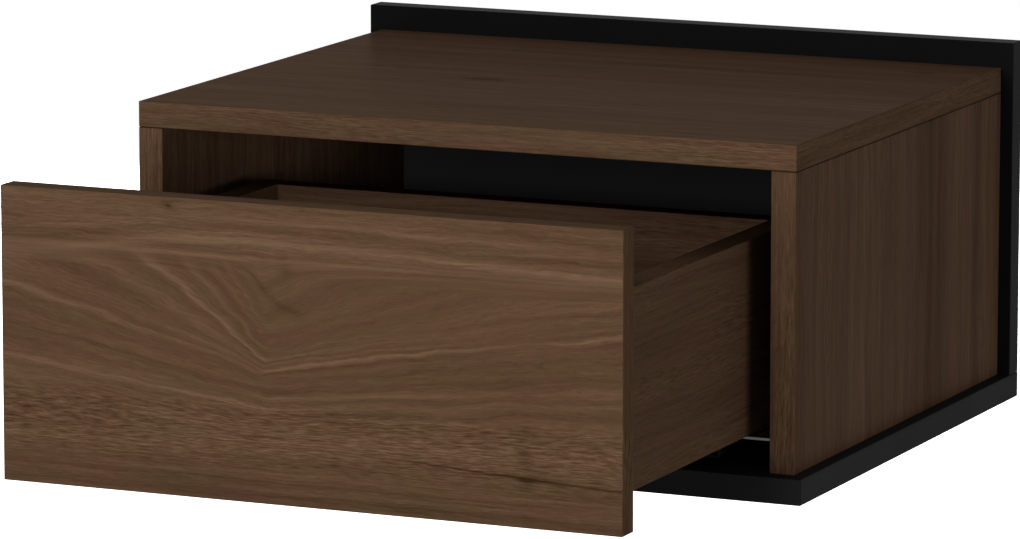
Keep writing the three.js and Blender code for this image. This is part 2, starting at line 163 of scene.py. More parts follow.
def noise(wire, u, v, w, detail=2.0, roughness=0.5):  # about -0.5 to 0.5
    vector = wire.node("CombineXYZ", {0: u, 1: v, 2: w})
    inputs = {"Vector": vector, "Scale": 1.0, "Detail": detail, "Roughness": roughness}
    return wire.node("TexNoise", inputs) - 0.5


def byAxis(wire, vector):
    split = wire.node("SeparateXYZ", {0: vector})
    return [split.pick(axis) for axis in "XYZ"]


def placeOf(wire):  # object coordinates in mm
    coords = wire.node("TexCoord", {}, "Object")
    return byAxis(wire, wire.node("VectorMath", {0: coords, "Scale": 1 / mm}, operation="SCALE"))


def facingOf(wire):  # the normal's share along each axis
    return byAxis(wire, wire.node("TexCoord", {}, "Normal"))


def clouds(wire, place, sizes, detail):  # noise by its size along each axis, in mm
    return noise(wire, *[axis / size for axis, size in zip(place, sizes)], detail)


axisX, axisY, axisZ = 0, 1, 2
facesAxis = 0.7072  # a surface faces an axis when its normal's share is over this


# Walnut laminate: the stops of its colour ramp, then patterns in the grain. Each is noise: its length and
# width in mm, its place in the noise, and its detail and roughness where they aren't those of noise.
walnutLook = dict(
    stops=[
        (0.0, (0.040, 0.0190, 0.0086, 1)),
        (0.5, (0.1130, 0.0632, 0.0370, 1)),
        (1.0, (0.215, 0.1300, 0.0800, 1)),
    ],
    # near black: the colour of the dark joints and of the painted shade on the box's edges
    jointAndShade=(0.006, 0.003, 0.002, 1),
    tints=((1.025, 0.98, 0.98, 1), (0.975, 1.02, 0.94, 1)),
    roughness=0.56,
    drift=(120, 40, 31),
    marks=(120, 22, 17, 1.0),
    broad=(420, 13, 0),
    streak=(150, 3.4, 5, 3.0, 0.6),
    thread=(55, 1.25, 11, 3.0, 0.7),
    fibre=(9, 0.75, 9, 2.0, 0.65),
    dash=(11, 0.62, 13, 2.0, 0.6),
    pore=(5.0, 0.42, 23, 1.0),
    patch=(60, 9, 41, 3.0),
)


# The grain runs along one axis, and on the faces across it along endRun. The coordinates are along the grain,
# across it, and one that sets the three pairs of faces apart.
def grainCoordinates(wire, along, endRun):
    point = placeOf(wire)
    faces = [abs(share) > facesAxis for share in facingOf(wire)]
    u = point[along] + faces[along] * (point[endRun] - point[along])
    v = 0
    for axis, face in enumerate(faces):
        across = 3 - axis - (endRun if axis == along else along)
        v = face * point[across] + v
    w = faces[axisX] * 7.3 + faces[axisY] * 3.1
    return point, faces, u, v, w


def grainNoise(wire, pattern, u, v, w):
    length, width, place, *fineness = walnutLook[pattern]
    return noise(wire, u / length, v / width, w + place, *fineness)


# One board's laminate. Bands, threads and dashes are the strengths of broad streaks, fine ones and short
# marks, and sway is how far the grain wanders, in mm. Knots are spots: two places, two half sizes and a
# depth, on the two axes in on. A seam is a dark joint: the axis across it and its place. Shade is painted
# shade over the whole board: it darkens the tone, or lightens it below 0. Rim is painted shade: how dark
# the edges of the drawer's box that face up or down become towards the rear, under the cabinet's top.
def walnut(
    name, along, endRun, seed, bands=1.0, threads=1.0, dashes=0.4, sway=16, figure=None,
    knots=(), on=(axisX, axisY), seams=(), shade=0.0, rim=0.0, gloss=0.005,
):
    material, wire = newMaterial(name)
    point, faces, u, v, w = grainCoordinates(wire, along, endRun)
    w = w + seed
    edges = 1 - faces[3 - along - endRun]
    drift = grainNoise(wire, "drift", u, v, w)
    v = v + drift * (1 - edges * 0.75) * sway
    fine, tone, calm = v, 0.5, 1.0
    marks = grainNoise(wire, "marks", u, v, w).rise(-0.08, 0.12) * dashes
    if figure:
        v, fine, tone, marks, calm = figure(wire, point, faces, v, w)
    marks = marks + edges * 0.3
    broad, streak = [grainNoise(wire, pattern, u, v, w) for pattern in ("broad", "streak")]
    thread, fibre, dash = [grainNoise(wire, pattern, u, fine, w) for pattern in ("thread", "fibre", "dash")]
    pore = grainNoise(wire, "pore", u, fine, w).rise(0.08, 0.26)
    tone = (broad * 0.62 + streak * 0.60) * bands + tone
    tone = (thread * 0.62 + fibre * 0.36) * calm * threads + tone
    tone = dash * marks * 1.6 - pore * (0.11 * threads) + tone - shade
    for a, b, halfA, halfB, depth in knots:
        across = (point[on[0]] - a) / halfA
        down = (point[on[1]] - b + drift * halfB) / halfB
        tone = tone - depth / (1 + wire.math("POWER", across * across + down * down, 2.0))
    colour = wire.node("ValToRGB", {0: tone}, stops=walnutLook["stops"])
    patch = grainNoise(wire, "patch", u, v, w).rise(-0.16, 0.16)
    colour = blend(wire, 1.0, colour, blend(wire, patch, *walnutLook["tints"]), "MULTIPLY")
    # painted shade: the box's top and bottom edges are darkened a little, and more towards the rear, as if
    # shaded by the cabinet's top
    if rim:
        upper = faces[axisZ] * (0.22 + point[axisY].rise(-480, -370) * rim)
        colour = blend(wire, upper, colour, walnutLook["jointAndShade"])
    for axis, at in seams:
        colour = blend(wire, point[axis].peak(at, 0.30) * 0.9, colour, walnutLook["jointAndShade"])
    return finished(
        material,
        Base_Color=colour,
        Roughness=walnutLook["roughness"] + fibre * 0.12,
        Normal=bumpOf(wire, fibre * 0.6 - pore, 0.00004, 0.35),
        Specular_IOR_Level=gloss,
    )


# The drawer front's figure, in mm from its lower left corner. Growth lines fall to a crease from both sides
# and steepen over it, and a line is named by its height at the crease. Away from it they spread from a pole:
# height = pole + (line - pole) * (1 + fan * run), where run is the distance, eased. Low has the pole of the
# lower lines and the last of them, and high has the pole of the upper ones and their first. The first value
# of reach and of each fan is for the left of the crease, and the second for the right.
crease = dict(
    corner=(-198, -96),
    across=171,
    reach=(172, 223),
    low=(36, 78.5),
    lowFan=(0.0060, 0.0038),
    high=(61.8, 83.5),
    highFan=(0.030, 0.0078),
    followed=((34, 47), (132, 148)),  # heights between which the grain follows the lines
    drawn=((46, 57), (132, 148)),  # and between which the lines are drawn
    waver=(3.5, 4.5),  # how far the lines waver low down, and how much more from 48 to 72 up
    strength=0.68,
    rightStrength=1.35,
    leftLines=[
        (40, 0.50), (47, 0.44), (51, 0.52), (54.2, 0.44), (55.8, 0.70), (57.2, 0.46), (60, 0.38),
        (62.5, 0.52), (65, 0.38), (68, 0.50), (71, 0.42), (74.8, 0.34), (77.2, 0.74), (78.4, 0.40),
        (79.4, 0.60), (80.2, 0.38), (81.2, 0.58), (82.2, 0.40), (83.1, 0.30), (84.3, 0.90), (86.2, 0.46),
        (89.5, 0.32), (92, 0.62), (96, 0.36), (100, 0.54), (104, 0.36), (107, 0.60), (113, 0.42),
        (125, 0.52), (140, 0.50),
    ],
    rightLines=[
        (40, 0.50), (47, 0.42), (50, 0.58), (53, 0.36), (56, 0.56), (58.5, 0.38), (61.5, 0.54), (64, 0.34),
        (67.5, 0.50), (70.5, 0.38), (73.5, 0.50), (76.6, 0.36), (78.7, 0.78), (80.4, 0.40), (82.2, 0.60),
        (83.6, 0.42), (85.2, 0.62), (86.6, 0.38), (88, 0.56), (90.5, 0.42), (94, 0.58), (98, 0.40),
        (103, 0.56), (109, 0.42), (115, 0.52), (125, 0.52), (140, 0.50),
    ],
)


def lineTones(wire, lines, field):
    low, high = lines[0][0], lines[-1][0]
    stops = [((place - low) / (high - low), grey(level)) for place, level in lines]
    return wire.node("ValToRGB", {0: (field - low) / (high - low)}, stops=stops) - 0.5


def eachSide(rightward, left, right):
    return left + rightward * (right - left)


def spreadLines(wire, point, x, z, w):
    (pole, last), (upperPole, first) = crease["low"], crease["high"]
    wave = noise(wire, point[axisX] / 38, point[axisZ] / 13, w + 3, 3.0)
    away = x - crease["across"] + noise(wire, 0, point[axisZ] / 15, w + 8, 1.0) * 12
    rightward = away.rise(-3, 3)
    distance = wire.math("SQRT", away * away + 6) - 2.4
    run = distance * (1.2 - 0.2 * (distance / eachSide(rightward, *crease["reach"])))
    lowFan = 1 + run * eachSide(rightward, *crease["lowFan"])
    highFan = 1 + run * eachSide(rightward, *crease["highFan"])
    height = z + wave * (crease["waver"][0] + z.rise(48, 72) * crease["waver"][1])
    lowLine = (height - pole) / lowFan + pole
    highLine = (height - upperPole) / highFan + upperPole
    lowEdge = lowFan * (last - pole) + pole
    highEdge = highFan * (first - upperPole) + upperPole
    between = wire.math("MAXIMUM", wire.math("MINIMUM", (height - lowEdge) / (highEdge - lowEdge), 1), 0)
    line = wire.math("MINIMUM", lowLine, last) + between * (first - last)
    line = line + wire.math("MAXIMUM", highLine - first, 0)
    left = lineTones(wire, crease["leftLines"], line)
    right = lineTones(wire, crease["rightLines"], line) * crease["rightStrength"]
    inside = z.within(*crease["followed"])
    rings = eachSide(rightward, left, right)
    return rings, height + inside * (line - height), height + inside * (lowLine - height)


# Single marks on the front: a calmer eye right of the crease with a curved line and a smudge in it, bands
# over the lines, a thin crack with a knot, a small knot high up, and a pale rim. Lower gives how much darker
# the tone is, by the share of the front's height.
frontMarks = dict(
    height=176,
    eye=dict(across=((155, 185), (330, 380)), foot=(96, 108), calm=0.85),
    curve=dict(middle=194, foot=114, steep=0.022, width=2.2, across=((158, 170), (190, 206)), depth=0.16),
    smudge=dict(place=(185, 137.5), size=(4, 2.5), depth=0.20),
    bands=[(0, 3.0, 0.22), (7.5, 2.2, -0.10), (13, 2.5, 0.08)],
    lower=[
        (0.0, 0.06), (0.03, 0.16), (0.05, 0.02), (0.075, 0.15), (0.10, 0.06), (0.115, 0.14),
        (0.17, -0.03), (0.3, 0.0),
    ],
    crack=dict(height=33.5, drop=7.5, falls=(225, 410), opens=(222, 290), knot=338),
    knot=dict(place=(110, 171), size=(2.0, 1.3), depth=0.55),
    rim=dict(height=143.5, across=((60, 100), (250, 290)), lift=0.14),
    dashes=dict(over=(14, 32), under=(50, 66), strength=0.70, everywhere=0.20),
)


def markedTone(wire, tone, x, z):
    m = frontMarks
    curve, crack, rim = m["curve"], m["crack"], m["rim"]
    bend = z - curve["foot"] - (curve["middle"] - x) * (curve["middle"] - x) * curve["steep"]
    tone = tone - bend.peak(0, curve["width"]) * x.within(*curve["across"]) * curve["depth"]
    (across, high), (wide, tall), depth = m["smudge"].values()
    tone = tone - x.peak(across, wide) * z.peak(high, tall) * depth
    band = z - (140 + 13 * x.rise(10, 140) - 6 * x.rise(190, 396))
    for over, width, lift in m["bands"]:
        tone = tone + band.peak(over, width) * lift
    stops = [(share, grey(depth + 0.1)) for share, depth in m["lower"]]  # a ramp holds no value under 0
    tone = tone - wire.node("ValToRGB", {0: z / m["height"]}, stops=stops) + 0.1
    gap = z - crack["height"] + crack["drop"] * x.rise(*crack["falls"])
    tone = tone - gap.peak(0, 0.45) * x.rise(*crack["opens"]) * 0.42
    tone = tone - gap.peak(0, 1.4) * x.peak(crack["knot"], 5) * 0.55
    tone = tone - x.peak(crack["knot"] - 2, 5) * z.peak(40, 9) * 0.12
    (across, high), (wide, tall), depth = m["knot"].values()
    upward = (z - high) / tall
    sideways = (x - across + 0.5 * (z - high)) / wide
    tone = tone - depth / (1 + upward * upward + sideways * sideways)
    return tone + z.peak(rim["height"], 0.9) * x.within(*rim["across"]) * rim["lift"]


def creaseFigure(wire, point, faces, v, w):
    x, z = point[axisX] - crease["corner"][0], point[axisZ] - crease["corner"][1]
    rings, field, fine = spreadLines(wire, point, x, z, w)
    eye, dashes = frontMarks["eye"], frontMarks["dashes"]
    shown = 1 - x.within(*eye["across"]) * z.rise(*eye["foot"]) * eye["calm"]
    tone = rings * z.within(*crease["drawn"]) * shown * crease["strength"] + 0.5
    tone = markedTone(wire, tone, x, z)
    marks = z.within(dashes["over"], dashes["under"]) * dashes["strength"] + dashes["everywhere"]
    calm = 1 - z.within((50, 62), (132, 146)) * (1 - shown * 0.55)
    front = faces[axisY]
    v, fine = v + front * (field - v), v + front * (fine - v)
    return v, fine, 0.5 + front * (tone - 0.5), marks, calm


# Matt black laminate with a fine grained surface. The base board's front edge is painted lighter, with a
# painted sheen that grows towards its ends, and the back board's inner face, between the sides, is painted
# a lighter dark grey that stands in for light reaching into the cabinet.
blackLook = dict(
    tones=((0.0050, 0.0050, 0.0052, 1), (0.0092, 0.0092, 0.0093, 1)),
    # the front edge's painted light and sheen: its colour, then its shares
    edge=(0.0265, 0.0265, 0.0267, 1),
    frontPaintedLightShare=dict(middle=0.18, ends=0.36, between=(120, 250)),
    # the inner face's painted light: its colour, then its bounds
    innerPaintedLight=(0.0470, 0.0470, 0.0472, 1),
    innerPaintedLightTo=dict(low=-99, high=83, side=201),
)


def blackLaminate(name, inner=False):
    material, wire = newMaterial(name)
    place = placeOf(wire)
    grit = clouds(wire, place, [0.35] * 3, 2.0)
    cloud = clouds(wire, place, [60] * 3, 2.0)
    colour = blend(wire, grit * 0.5 + cloud * 0.4 + 0.5, *blackLook["tones"])
    front = (0 - facingOf(wire)[axisY]) > facesAxis
    across, height = abs(place[axisX]), place[axisZ]
    if inner:
        # painted light: the back board's inner face between the sides is lightened, standing in for light
        # reaching it
        to = blackLook["innerPaintedLightTo"]
        sheet = front * (height > to["low"]) * (to["high"] - height > 0) * (to["side"] - across > 0)
        colour = blend(wire, sheet, colour, blackLook["innerPaintedLight"])
    else:
        # painted light: the front edge is lightened, and a painted sheen grows towards its ends
        edge = blackLook["frontPaintedLightShare"]
        frontPaintedLight = front * (edge["middle"] + across.rise(*edge["between"]) * edge["ends"])
        colour = blend(wire, frontPaintedLight, colour, blackLook["edge"])
    return finished(
        material,
        Base_Color=colour,
        Roughness=0.5 + cloud * 0.12,
        Normal=bumpOf(wire, grit, 0.00003, 0.4),
        Specular_IOR_Level=0.01,
    )


# Zinc plated sheet: fine rolling lines, faint clouds, and matt sheared ends, painted near black as shade
# below a set height
zincLook = dict(
    tones=((0.40, 0.41, 0.42, 1), (0.56, 0.57, 0.58, 1)),
    # the sheared ends: a near black painted shade low down, and their own matt grey
    ends=((0.010, 0.010, 0.010, 1), (0.14, 0.137, 0.132, 1)),
    paintedShadeBelow=-84,
)


def zincSheet():
    material, wire = newMaterial("zincSheet")
    place = placeOf(wire)
    cloud = clouds(wire, place, (9, 14, 9), 3.0)
    rolled = clouds(wire, place, (0.25, 30, 0.25), 2.0)
    cut = abs(facingOf(wire)[axisY]) > 0.9
    # painted shade: the sheared ends turn near black below a set height
    dullEndsAndShade = blend(wire, place[axisZ] > zincLook["paintedShadeBelow"], *zincLook["ends"])
    return finished(
        material,
        Base_Color=blend(wire, cut, blend(wire, cloud + 0.5, *zincLook["tones"]), dullEndsAndShade),
        Metallic=1.0,
        Roughness=0.24 + cloud * 0.18 + rolled * 0.08 + cut * 0.3,
        Normal=bumpOf(wire, rolled, 0.00002, 0.3),
    )


# Turned fasteners and moulded plastic: two tones in faint clouds over a fine grain, both sized in mm
def clouded(name, tones, size, grain, detail, roughness, rougher, strength, metallic=0.0):
    material, wire = newMaterial(name)
    place = placeOf(wire)
    cloud = clouds(wire, place, [size] * 3, detail)
    return finished(
        material,
        Base_Color=blend(wire, cloud + 0.5, *tones),
        Metallic=metallic,
        Roughness=roughness + cloud * rougher,
        Normal=bumpOf(wire, clouds(wire, place, [grain] * 3, detail), 0.00003, strength),
    )


# Beech: pale, with short dark rays
beechLook = dict(tones=((0.46, 0.30, 0.15, 1), (0.68, 0.50, 0.30, 1)), ray=(0.30, 0.17, 0.08, 1))


def beechWood():
    material, wire = newMaterial("beechWood")
    place = placeOf(wire)
    grain = clouds(wire, place, (0.8, 0.8, 18), 3.0)
    ray = clouds(wire, place, (0.5, 0.5, 2.2), 1.0).rise(0.1, 0.3)
    return finished(
        material,
        Base_Color=blend(wire, ray * 0.6, blend(wire, grain + 0.5, *beechLook["tones"]), beechLook["ray"]),
        Roughness=0.6 + grain * 0.2,
        Normal=bumpOf(wire, grain, 0.00008, 0.5),
    )


topKnots = [
    (-62, -196, 15, 6, 0.36), (-15, -300, 50, 8, 0.12), (60, -95, 90, 5, 0.16), (180, -58, 8, 4, 0.26),
]
sidePatch = [(-140, 60, 26, 190, 0.24), (-60, -20, 9, 160, 0.14), (-352, 0, 9, 90, 0.12)]
topSeam = (axisZ, 83)
tones = dict(
    steel=((0.46, 0.48, 0.50, 1), (0.64, 0.65, 0.66, 1)),
    nylon=((0.66, 0.66, 0.63, 1), (0.74, 0.74, 0.71, 1)),
    plastic=((0.095, 0.10, 0.105, 1), (0.13, 0.135, 0.14, 1)),
)
looks = dict(
    front=walnut("walnutFront", axisX, axisZ, 2.0, figure=creaseFigure, bands=0.6, gloss=0.001),
    top=walnut(
        "walnutTop", axisX, axisY, 11.0, bands=0.6, threads=0.9, knots=topKnots, seams=[topSeam],
        shade=-0.05, gloss=0.002,
    ),
    sideLeft=walnut(
        "walnutSideLeft", axisZ, axisY, 23.0, bands=0.8, dashes=0.5, seams=[topSeam], gloss=0.007,
    ),
    sideRight=walnut(
        "walnutSideRight", axisZ, axisY, 37.0, bands=0.75, dashes=0.5, knots=sidePatch, on=(axisY, axisZ),
        seams=[topSeam], shade=0.04, gloss=0.007,
    ),
    boxSides=walnut(
        "walnutBoxSides", axisY, axisZ, 45.0, bands=0.5, threads=0.85, dashes=0.6, sway=7, shade=0.07,
        rim=0.60,
    ),
    boxRear=walnut(
        "walnutBoxRear", axisX, axisZ, 58.0, bands=0.7, dashes=0.7, sway=10, rim=0.70,
        seams=[(axisX, -165), (axisX, 165)],
    ),
    boxBottom=walnut("walnutBoxBottom", axisX, axisY, 66.0, bands=0.8),
    blackBase=blackLaminate("blackBase"),
    blackBack=blackLaminate("blackBack", inner=True),
    zinc=zincSheet(),
    steel=clouded("fastenerSteel", tones["steel"], 3, 3, 3.0, 0.36, 0.25, 0.3, metallic=1.0),
    beech=beechWood(),
    nylon=clouded("nylon", tones["nylon"], 12, 0.4, 2.0, 0.45, 0.15, 0.4),
    plastic=clouded("greyPlastic", tones["plastic"], 12, 0.4, 2.0, 0.5, 0.15, 0.4),
)
looks["spring"] = looks["steel"]
print("materials made,", len(looks))


# Mesh making: shells, worked out as whole arrays in mm, become one closed piece. A shell is its points, its
# faces with four corners and its end caps.
mergeWithin = 1e-6  # in metres


def meshObject(name, *shells):
    faces, first = [], 0
    for points, quads, caps in shells:
        faces += (quads + first).tolist() + [(cap + first).tolist() for cap in caps]
        first += len(points)
    mesh = bpy.data.meshes.new(name)
    mesh.from_pydata((np.concatenate([shell[0] for shell in shells]) * mm).tolist(), [], faces)
    work = bmesh.new()
    work.from_mesh(mesh)
    bmesh.ops.remove_doubles(work, verts=work.verts, dist=mergeWithin)
    bmesh.ops.recalc_face_normals(work, faces=work.faces)
    work.to_mesh(mesh)
    work.free()
    piece = bpy.data.objects.new(name, mesh)
    scene.collection.objects.link(piece)
    return piece


# A grid of points, ring by ring, becomes a shell: each face joins two neighbours on one ring to the same two
# on the next. Wrapped, the last ring joins the first.
def gridShell(points, capped=True, wrapped=False):
    rings, around = points.shape[:2]
    last = rings if wrapped else rings - 1
    row = np.arange(last)[:, None] * around
    above = (np.arange(last)[:, None] + 1) % rings * around
    column = np.arange(around)[None, :]
    after = (column + 1) % around
    quads = np.stack([row + column, row + after, above + after, above + column], axis=-1)
    caps = []
    if capped and not wrapped:
        caps = [np.arange(around)[::-1], np.arange((rings - 1) * around, rings * around)]
    return points.reshape(-1, 3), quads.reshape(-1, 4), caps


def fourCorners(steps):  # a quarter turn in steps, the four quarters in a row, and which way each corner lies
    quarter = np.linspace(0, math.pi / 2, steps + 1)
    turns = np.concatenate([quarter + corner * math.pi / 2 for corner in range(4)])
    return quarter, turns, np.repeat([[1, 1], [-1, 1], [-1, -1], [1, -1]], steps + 1, axis=0)


# A box with rolled edges: each corner is an eighth of a ball, whose points are its centre plus the radius
# times (cos tilt cos turn, cos tilt sin turn, sin tilt).
def rolledBox(low, high, radius, steps=6):
    low, high = np.array(low, float), np.array(high, float)
    middle, reach = (low + high) / 2, (high - low) / 2 - radius
    quarter, turns, signs = fourCorners(steps)
    tilts = np.concatenate([quarter - math.pi / 2, quarter])
    levels = np.repeat([-1, 1], steps + 1)
    points = np.empty((len(tilts), len(turns), 3))
    for axis, wave in ((0, np.cos(turns)), (1, np.sin(turns))):
        edge = middle[axis] + signs[:, axis] * reach[axis]
        points[:, :, axis] = edge + radius * np.outer(np.cos(tilts), wave)
    points[:, :, 2] = (middle[2] + levels * reach[2] + radius * np.sin(tilts))[:, None]
    return gridShell(points)


# A turned solid: each ring has a distance along the axis and a radius, which may change with the angle.
# A point is the start plus distance times the axis plus radius times (cos angle, sin angle) across it.
def turned(start, axis, rings, around=48):
    axis = np.array(axis, float)
    side = np.array([0, 0, 1.0]) if abs(axis[2]) < 0.5 else np.array([1.0, 0, 0])
    other = np.cross(axis, side)
    angle = np.arange(around) / around * turn
    radii = np.array([np.broadcast_to(r(angle) if callable(r) else r, around) for _, r in rings], float)
    along = np.array([distance for distance, _ in rings], float)
    points = np.array(start, float) + along[:, None, None] * axis
    points = points + (radii * np.cos(angle))[..., None] * side + (radii * np.sin(angle))[..., None] * other
    return gridShell(points)


def crossOutline(half, width):  # the radius of a cross with four equal arms, by angle
    def radius(angle):
        c, s = np.abs(np.cos(angle)) + 1e-9, np.abs(np.sin(angle)) + 1e-9
        return np.maximum(np.minimum(half / c, width / s), np.minimum(width / c, half / s))
    return radius


def hexOutline(flat):  # the radius of a hexagon, by angle
    return lambda angle: flat / np.cos((angle % (turn / 6)) - turn / 12)


def flutedOutline(outer, depth, flutes):  # a circle whose radius dips in a wave, by angle
    return lambda angle: outer - depth * (0.5 + 0.5 * np.cos(angle * flutes))


def threadRings(start, end, core, crest, pitch):  # the crest climbs one pitch in each turn
    def ring(distance):
        def radius(angle):
            phase = (distance / pitch - angle / turn) % 1
            return core + (crest - core) * np.clip(1 - np.abs(phase - 0.5) * 4, 0, 1)
        return radius
    return [(distance, ring(distance)) for distance in np.arange(start, end, pitch / 6)]


# A rectangle with round corners, as a closed loop
def roundedOutline(low, high, radius, steps=6):
    _, angle, signs = fourCorners(steps)
    low, high = np.array(low, float), np.array(high, float)
    centres = (low + high) / 2 + signs * ((high - low) / 2 - radius)
    return centres + radius * np.column_stack([np.cos(angle), np.sin(angle)])


def outwardOf(outline):  # the unit normal of a closed loop that runs anticlockwise
    edge = np.roll(outline, -1, axis=0) - np.roll(outline, 1, axis=0)
    edge /= np.linalg.norm(edge, axis=1)[:, None] + 1e-12
    return np.column_stack([edge[:, 1], -edge[:, 0]])


# A closed outline carried along an axis, with its two ends eased: a ring is the outline moved inwards. With a
# hollow it is a tube, which runs back along that inner outline.
def carried(outline, axis, start, end, ease=0.2, hollow=None):
    eased = outline - outwardOf(outline) * ease
    rows = [(start, eased), (start + ease, outline), (end - ease, outline), (end, eased)]
    if hollow is not None:
        rows += [(end, hollow), (start, hollow)]
    points = np.array([np.insert(loop, axis, distance, axis=1) for distance, loop in rows])
    return gridShell(points, wrapped=hollow is not None)


# A sheet bent along a line in X and Z, carried along Y. Each corner of the line is a quadratic curve
# between two points at the bend's distance from it, and the faces lie half a thickness to each side.
def bentSheet(corners, thickness, start, end, bend=2.0, steps=6):
    corners = np.array(corners, float)
    share = np.linspace(0, 1, steps + 1)[:, None]
    path = [corners[:1]]
    for i in range(1, len(corners) - 1):
        inward, outward = corners[i] - corners[i - 1], corners[i + 1] - corners[i]
        first = corners[i] - inward / np.linalg.norm(inward) * bend
        last = corners[i] + outward / np.linalg.norm(outward) * bend
        path.append((1 - share) ** 2 * first + 2 * share * (1 - share) * corners[i] + share**2 * last)
    path = np.concatenate(path + [corners[-1:]])
    edge = np.gradient(path, axis=0)
    edge /= np.linalg.norm(edge, axis=1)[:, None]
    across = np.column_stack([-edge[:, 1], edge[:, 0]]) * thickness / 2
    loop = np.concatenate([path + across, (path - across)[::-1]])
    points = np.array([np.insert(loop, axisY, y, axis=1) for y in (start, end)])
    points, quads, caps = gridShell(points, capped=False)
    count = len(loop)
    strip = np.arange(len(path) - 1)
    ends = np.column_stack([strip, strip + 1, count - 2 - strip, count - 1 - strip])
    return points, np.concatenate([quads, ends[:, ::-1], ends + count]), caps


# Bores and joints: tools are taken out of a piece, or fused to it, in turn
def worked(piece, tools, operation="DIFFERENCE"):
    for tool in tools:
        step = piece.modifiers.new("step", "BOOLEAN")
        step.operation = operation
        step.solver = "MANIFOLD"
        step.object = tool
    bpy.context.view_layer.update()
    shape = piece.evaluated_get(bpy.context.evaluated_depsgraph_get())
    mesh = bpy.data.meshes.new_from_object(shape)
    old = piece.data
    piece.modifiers.clear()
    piece.data = mesh
    bpy.data.meshes.remove(old)
    for tool in tools:
        gone = tool.data
        bpy.data.objects.remove(tool)
        bpy.data.meshes.remove(gone)


def toolOf(shell):
    return meshObject("tool", shell)


def boxTool(xs, ys, zs, edge, steps=6):
    return toolOf(rolledBox(*zip(xs, ys, zs), edge, steps))


def dress(piece, body, look, node=None, smooth=35):  # edges sharper than smooth, in degrees, stay sharp
    piece.data.materials.clear()
    piece.data.materials.append(looks[look])
    if smooth:
        piece.data.shade_smooth()
        piece.data.set_sharp_from_angle(angle=math.radians(smooth))
    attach(piece, body)
    if node:
        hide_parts(node)


def standIn(node, shell, body, look, cuts=(), smooth=35):  # a piece in the place of one CAD node
    piece = meshObject(node.replace("_", "-"), shell)
    if cuts:
        worked(piece, cuts)
    dress(piece, body, look, node, smooth)


def span(name):
    low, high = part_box(name)
    return np.array(low) / mm, np.array(high) / mm


hands = (("left", -1), ("right", 1))
up, down, wallward, frontward = (0, 0, 1), (0, 0, -1), (0, 1, 0), (0, -1, 0)

# Screws, by radius and length in mm: a head with its recess, a smooth neck, a thread and a point
screwKinds = dict(
    connector=dict(
        head=5.0, depth=4.0, shank=3.5, core=2.7, pitch=3.2, neck=9, recess=hexOutline(2.0), into=3.0,
    ),
    plate=dict(
        head=3.4, depth=1.6, shank=1.75, core=1.15, pitch=1.5, neck=0.8,
        recess=crossOutline(1.5, 0.36), into=1.2,
    ),
    clip=dict(
        head=3.2, depth=1.5, shank=1.75, core=1.15, pitch=1.5, neck=0.8,
        recess=crossOutline(1.4, 0.34), into=1.1,
    ),
)
holeGap = 0.3  # how much wider and deeper a screw's hole is


def scaled(outline, share):
    return lambda angle: outline(angle) * share


def sunkScrew(kind, start, axis, length):
    head, depth, shank, core, pitch, neck, recess, into = screwKinds[kind].values()
    rings = [(into, scaled(recess, 0.86)), (0.15, recess), (0, scaled(recess, 1.06)), (0, head - 0.3)]
    rings += [(0.08, head - 0.1), (0.25, head - 0.02), (depth, shank), (depth + neck, shank)]
    rings += threadRings(depth + neck + 0.3, length - 2.2 * shank, core, shank - 0.02, pitch)
    rings += [(length - 1.5 * shank, core), (length - 0.3, 0.35), (length, 0.1)]
    return turned(start, axis, rings)


def sunkHole(kind, start, axis, length):
    k = screwKinds[kind]
    head, shank = k["head"] + holeGap, k["shank"] + holeGap
    rings = [(-1.5, head), (0.0, head), (k["depth"] + 0.1, shank), (length + holeGap, shank)]
    return toolOf(turned(start, axis, rings))


def panScrew(start, axis, length):  # a round head that stands on the rail, with a cross recess
    recess = crossOutline(2.1, 0.45)
    rings = [(1.5, scaled(recess, 0.85)), (0.2, recess), (0.0, scaled(recess, 1.05)), (0.0, 2.5)]
    rings += [(0.22, 3.4), (0.6, 4.0), (1.1, 4.35), (1.7, 4.49), (2.3, 4.49), (2.4, 4.4)]
    rings += [(2.4, 3.1), (3.2, 3.1)]
    rings += threadRings(3.4, length - 3, 2.3, 3.08, 1.8)
    return turned(start, axis, rings + [(length - 2.4, 2.2), (length - 0.2, 0.5), (length, 0.2)])


def plainHole(start, axis, radius, length, before=0.3):
    return toolOf(turned(start, axis, [(-before, radius), (length, radius)]))


def headEnd(name, axis):  # where a fastener's solid starts, and its length
    low, high = span(name)
    middle = (low + high) / 2
    run = int(np.argmax(np.abs(axis)))
    middle[run] = low[run] if axis[run] > 0 else high[run]
    return middle, high[run] - low[run]


# Rows of screws: the solids' name, the screw's kind, its body, and the axis of each
screwRows = [
    ("base_screw", "connector", "cabinet", [up] * 4),
    ("back_screw", "connector", "cabinet", [frontward] * 4),
    ("rear_screw", "connector", "drawer", [(1, 0, 0)] * 2 + [(-1, 0, 0)] * 2),
    ("bottom_screw", "plate", "drawer", [up] * 2),
    ("latch_screw", "clip", "cabinet", [down] * 2),
]
holes = {}
for row, kind, body, axes in screwRows:
    holes[row] = []
    for i, axis in enumerate(axes):
        start, length = headEnd(f"{row}_{i + 1}", axis)
        holes[row].append((kind, start, axis, length))
        standIn(f"{row}_{i + 1}", sunkScrew(*holes[row][-1]), body, "steel")

# Small screws that only the scene shows, two in each hanger plate and one in each locking clip: the kind,
# where the head lies, the axis and the length
plateScrews = [("plate", (x, -0.3, 55), frontward, 12) for x in (-172, -128, 128, 172)]
clipScrews = [("clip", (x, -527, -72.3), up, 9.5) for x in (-112.9, 112.9)]
for row, body, title in ((plateScrews, "cabinet", "hanger-screw"), (clipScrews, "drawer", "clip-screw")):
    for i, screw in enumerate(row):
        dress(meshObject(f"{title}-{i + 1}", sunkScrew(*screw)), body, "steel")

